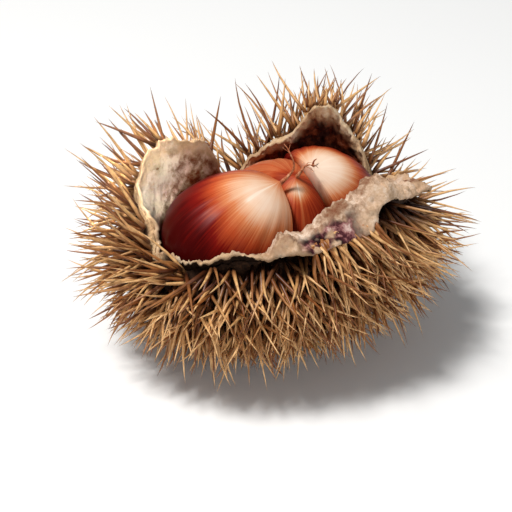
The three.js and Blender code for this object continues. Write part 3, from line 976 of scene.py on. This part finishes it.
def make_spines(material):
    """The solids' spines and the finer ones between them, in one piece for each side of the husk."""
    kinds = [spine_lines(SOLID_SPINES), spine_lines(FINE_SPINES), lip_spine_lines()]
    root, tip, normal, angle, number, light, radius, bend = (np.concatenate(x) for x in zip(*kinds))
    strays = np.array(STRAY_SPINES, float)
    count = len(strays)
    root, tip = np.vstack([root, strays[:, 0]]), np.vstack([tip, strays[:, 1]])
    normal = np.vstack([normal, np.zeros((count, 3))])
    angle = np.append(angle, np.full(count, math.pi))
    number = np.append(number, np.arange(count))
    light = np.append(light, np.ones(count))
    radius = np.append(radius, np.full(count, FINE_SPINES["radius"]))
    bend = np.append(bend, np.full(count, FINE_SPINES["bend"]))
    quarter = np.floor(np.mod(angle + math.pi, 2 * math.pi) / (math.pi / 2)).astype(int)
    for index, name in enumerate(("front_left", "front_right", "back_right", "back_left")):
        chosen = quarter == index
        parts = [x[chosen] for x in (root, tip, normal, number, light, radius, bend)]
        vertices, faces, along, hue = spine_mesh(*parts)
        name = f"husk_spines_{name}"
        make_piece(name, vertices, faces, material, "husk_spines", "husk_spines", along=along, hue=hue)


def nut_frame(nut):
    """A nut's tip, its axis from base to tip, the way its outer side faces and its width direction."""
    turn, lean = math.radians(nut["turn"]), math.radians(nut["lean"])
    flat = np.array([math.cos(turn), math.sin(turn), 0.0])
    side = np.cross(UP, flat)
    forward = math.radians(nut["forward"] if side[1] < 0 else -nut["forward"])
    axis = unit(UP - flat * math.tan(lean) + side * math.tan(forward))
    facing = unit(flat - axis * (flat @ axis))
    return np.array(nut["tip"], float), axis, facing, np.cross(axis, facing)


def nut_profile(t):
    """A nut's width from its base at 0 to its tip at 1, as a share of the full width."""
    inside = np.clip(t, 0, 1)
    power = NUT_SHAPE["fullness"] + NUT_SHAPE["pointed"] * inside ** NUT_SHAPE["pointed_from"]
    return np.abs(np.sin(math.pi * inside ** NUT_SHAPE["shoulder"])) ** power


def nut_points(nut, angle, t):
    """Points of a nut's surface, before it is pressed against its neighbours."""
    tip, axis, facing, width = nut_frame(nut)
    p = nut_profile(t)
    c = np.sign(np.cos(angle)) * np.abs(np.cos(angle)) ** nut["round"]
    d = np.sign(np.sin(angle)) * np.abs(np.sin(angle)) ** nut["round"]
    bulge = np.where(c > 0, nut["outer"], nut["inner"]) * p * c
    across = nut["half_width"] * p * d
    return tip + axis * col(-nut["height"] * (1 - t)) + facing * col(bulge) + width * col(across)


def press_flat(points, other):
    """Points that would be inside a neighbouring nut are moved out to its flat side."""
    tip, axis, facing, width = nut_frame(other)
    away = points - tip
    f, w, z = away @ facing, away @ width, away @ axis
    t = 1 + (z - NUT_GAP) / (other["height"] + 2 * NUT_GAP)
    p = nut_profile(t)
    reach = np.maximum((other["half_width"] + NUT_GAP) * p, 1e-6)
    room = np.maximum(1 - np.abs(w / reach) ** (2 / other["round"]), 0) ** (other["round"] / 2)
    wall = -(other["inner"] + NUT_GAP) * p * room
    inside = (f > wall) & (room > 0) & (t > 0) & (t < 1) & (f < other["outer"])
    return points + facing * col(np.where(inside, wall - f, 0))


def make_nut(nut, before, material, strand):
    """A nut's polished body, pressed flat against its neighbours, with its values for the streaked shell."""
    around, rows = NUT_MESH["around"], NUT_MESH["rows"]
    angle = np.arange(around) / around * 2 * math.pi
    down = np.arange(1, rows + 1) / (rows + 1)
    t_rows = (1 + np.cos(math.pi * down)) / 2
    a, t = [x.ravel() for x in np.broadcast_arrays(angle[None], t_rows[:, None])]
    points = nut_points(nut, a, t)
    tip, axis = nut_frame(nut)[:2]
    ends = np.array([tip, tip - axis * nut["height"]])
    fine = 0.10 * np.sin(23 * a + 2 * np.sin(5 * a)) * smooth((1 - t) * 4) * smooth(t * 3)
    middle = tip - axis * col(nut["height"] * (1 - t))
    points = points + unit(points - middle) * col(fine)
    vertices = np.vstack([ends[:1], points, ends[1:]])
    for other in before:
        vertices = press_flat(vertices, other)
    full_t = np.concatenate([[1.0], t, [0.0]])
    full_a = np.concatenate([[0.0], a, [0.0]])
    grain = np.stack([np.cos(full_a), np.sin(full_a), full_t], -1)
    # Cream round the tip: partly the shell's own colour, partly painted highlight.
    pale_and_highlight = nut["pale_and_highlight"](vertices - tip, full_a, full_t)
    hilum = smooth((0.16 - full_t) / 0.05)
    faces = [f[::-1] for f in closed_grid(rows, around)]
    values = {"grain": grain, "pale_and_highlight": pale_and_highlight, "hilum": hilum}
    make_piece(nut["name"] + "_shell", vertices, faces, material, nut["name"], "nut_shell", **values)
    make_style(nut, strand)


def strand_points(path, radii, around=8, per=8):
    """A closed tube along a smooth curve through the path's points."""
    path = np.asarray(path, float)
    padded = np.vstack([2 * path[0] - path[1], path, 2 * path[-1] - path[-2]])
    centres = []
    for i in range(1, len(padded) - 2):
        a, b, c, d = padded[i - 1 : i + 3]
        square, cube = 2 * a - 5 * b + 4 * c - d, 3 * b - a - 3 * c + d
        for u in np.arange(per) / per:
            centres.append(0.5 * (2 * b + (c - a) * u + square * u**2 + cube * u**3))
    centres = np.array(centres + [path[-1]])
    share = np.linspace(0, 1, len(centres))
    radius = np.interp(share, np.linspace(0, 1, len(radii)), radii)
    ahead = unit(np.gradient(centres, axis=0))
    side = unit(np.cross(ahead, ACROSS))
    other = np.cross(ahead, side)
    turn = np.arange(around) / around * 2 * math.pi
    ring = side[:, None] * np.cos(turn)[None, :, None] + other[:, None] * np.sin(turn)[None, :, None]
    rings = centres[:, None] + ring * radius[:, None, None]
    vertices = np.vstack([centres[:1], rings.reshape(-1, 3), centres[-1:]])
    return vertices, [f[::-1] for f in closed_grid(len(centres), around)]


def make_style(nut, material):
    """The dried style on a nut's tip, with its fine branches."""
    tip, axis = nut_frame(nut)[:2]
    path = [tip - axis * 2, *(tip + np.array(p) for p in nut["style"])]
    vertices, faces = strand_points(path, STYLE_RADII)
    for branch in nut["branches"]:
        more, their = strand_points([tip + np.array(p) for p in branch], BRANCH_RADII, 6, 6)
        faces += [tuple(len(vertices) + v for v in f) for f in their]
        vertices = np.vstack([vertices, more])
    make_piece(nut["name"] + "_style", vertices, faces, material, nut["name"], "nut_shell")


def distance(points, centre):
    """How far points are from a centre."""
    return np.linalg.norm(points - np.array(centre), axis=1)


def line_down(angle, t, at, width, from_t, to_t):
    """A narrow line down a nut from its tip, as a share from 0 to 1."""
    off = np.angle(np.exp(1j * (angle - math.radians(at)))) / math.radians(width)
    return np.exp(-(off**2)) * smooth((t - from_t) / 0.04) * smooth((to_t - t) / 0.01)


def pale_tip_and_highlight_left(points, angle, t):
    """Cream a little below the tip, partly the shell's own cream tip and partly a painted highlight, then
    orange-brown to dark red with the distance from there.
    """
    reach = distance(points, (-4.0, -6.9, 0.2))
    tone = np.interp(reach, (0, 4, 7, 10, 14, 18, 24), (0.95, 0.89, 0.74, 0.56, 0.34, 0.19, 0.10))
    tone = tone - 0.13 * smooth((-points[:, 0] - 12) / 7) - 0.05 * smooth((-points[:, 2] - 8) / 5)
    tone = tone - 0.12 * np.exp(-((distance(points, (0, 0, 0)) / 6) ** 2))
    return tone + 0.2 * line_down(angle, t, 22, 2.5, 0.84, 0.995)


def pale_tip_and_highlight_right(points, angle, t):
    """Cream near the hidden tip, partly the shell's own cream tip and partly a painted highlight, then as the
    left nut.
    """
    reach = distance(points, (3.4, 1.0, -0.3))
    return np.interp(reach, (0, 4, 7, 9.5, 12.5, 18), (0.97, 0.93, 0.73, 0.44, 0.24, 0.12))


def tone_and_highlight_middle(points, angle, t):
    """Dark red-brown with a painted highlight on its front face, a bright spot and a thin bright ridge line,
    and a paler back.
    """
    spot = np.exp(-((distance(points, (0.6, -2.7, -2.4)) / 2.8) ** 2))
    ridge = line_down(angle, t, 260, 4, 0.72, 0.99)
    back = smooth((points[:, 1] - 1) / 3) * 0.22
    return 0.28 + 0.58 * spot + 0.22 * ridge + back


LOOKS = {
    "nut_left": {
        "pale_and_highlight": pale_tip_and_highlight_left,
        "branches": [
            ((2, 0.5, 8.1), (2.2, 0.6, 8.8), (2.4, 1.0, 9.6)),
            ((3.3, 0, 4.5), (2.4, 0.4, 7.2), (0.5, 1, 8.6)),
        ],
    },
    "nut_right": {"pale_and_highlight": pale_tip_and_highlight_right, "branches": []},
    "nut_middle": {
        "pale_and_highlight": tone_and_highlight_middle,
        "branches": [
            ((2.3, -0.3, 3), (3.2, -0.6, 2.6), (4.4, -0.8, 1.8)),
            ((2.3, -0.3, 3), (1.8, -0.6, 2.4), (1.5, -1.0, 1.4)),
            ((3.5, -0.3, 3.3), (4.6, -0.4, 3.2), (5.4, -0.2, 2.4)),
            ((2.3, -0.3, 3), (2.9, 0.2, 3.6), (3.9, 0.4, 3.5)),
        ],
    },
}


# Stage


def make_floor():
    """A plain pale floor."""
    mesh = bpy.data.meshes.new("floor")
    reach = FLOOR["reach"]
    corners = [(-reach, -reach, 0), (reach, -reach, 0), (reach, reach, 0), (-reach, reach, 0)]
    mesh.from_pydata(corners, [], [(0, 1, 2, 3)])
    material, tree, shader = new_material("floor")
    clouds = add_noise(tree, object_place(tree), 4, 2)
    colour = add_ramp(tree, clouds, [(0.3, (FLOOR["darker"],) * 3), (0.7, (FLOOR["lighter"],) * 3)])
    tree.links.new(colour, shader.inputs["Base Color"])
    shader.inputs["Roughness"].default_value = 0.7
    mesh.materials.append(material)
    floor = bpy.data.objects.new("floor", mesh)
    bpy.context.scene.collection.objects.link(floor)


def add_lamp(name, place, size, energy, colour, aim=VIEW["target"], spread=180):
    """A round area light aimed at a point."""
    light = bpy.data.lights.new(name, "AREA")
    light.shape = "DISK"
    light.size = size
    light.energy = energy
    light.color = colour
    light.spread = math.radians(spread)
    lamp = bpy.data.objects.new(name, light)
    lamp.location = place
    target = Vector([x * MM for x in aim])
    lamp.rotation_euler = (target - Vector(place)).to_track_quat("-Z", "Y").to_euler()
    bpy.context.scene.collection.objects.link(lamp)


def make_lights():
    """The lamps and a dim, even studio light."""
    for lamp in LAMPS:
        add_lamp(**lamp)
    world = bpy.data.worlds.new("studio")
    world.use_nodes = True
    background = world.node_tree.nodes["Background"]
    background.inputs["Color"].default_value = (*WORLD["colour"], 1)
    background.inputs["Strength"].default_value = WORLD["strength"]
    bpy.context.scene.world = world


def make_camera():
    """The photograph's view."""
    elevation = math.radians(VIEW["elevation"])
    target = Vector([x * MM for x in VIEW["target"]])
    back = Vector((0, -math.cos(elevation), math.sin(elevation)))
    camera = bpy.data.cameras.new("camera")
    camera.lens = VIEW["lens"]
    camera.sensor_width = 36
    camera.clip_start = 0.01
    view = bpy.data.objects.new("camera", camera)
    view.location = target + back * VIEW["distance"] * MM
    view.rotation_euler = back.to_track_quat("Z", "Y").to_euler()
    bpy.context.scene.collection.objects.link(view)
    bpy.context.scene.camera = view


def main():
    """The stage, then the finer pieces in the place of the solids."""
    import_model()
    make_camera()
    make_lights()
    make_floor()
    wall = husk_material()
    make_wall(wall)
    make_scar(wall)
    make_skin(skin_material())
    make_spines(spine_material())
    strand = style_material()
    for i, nut in enumerate(NUTS):
        nut.update(LOOKS[nut["name"]])
        make_nut(nut, NUTS[:i], nut_material(nut["name"]), strand)
    bpy.context.scene.view_settings.view_transform = "Standard"


main()
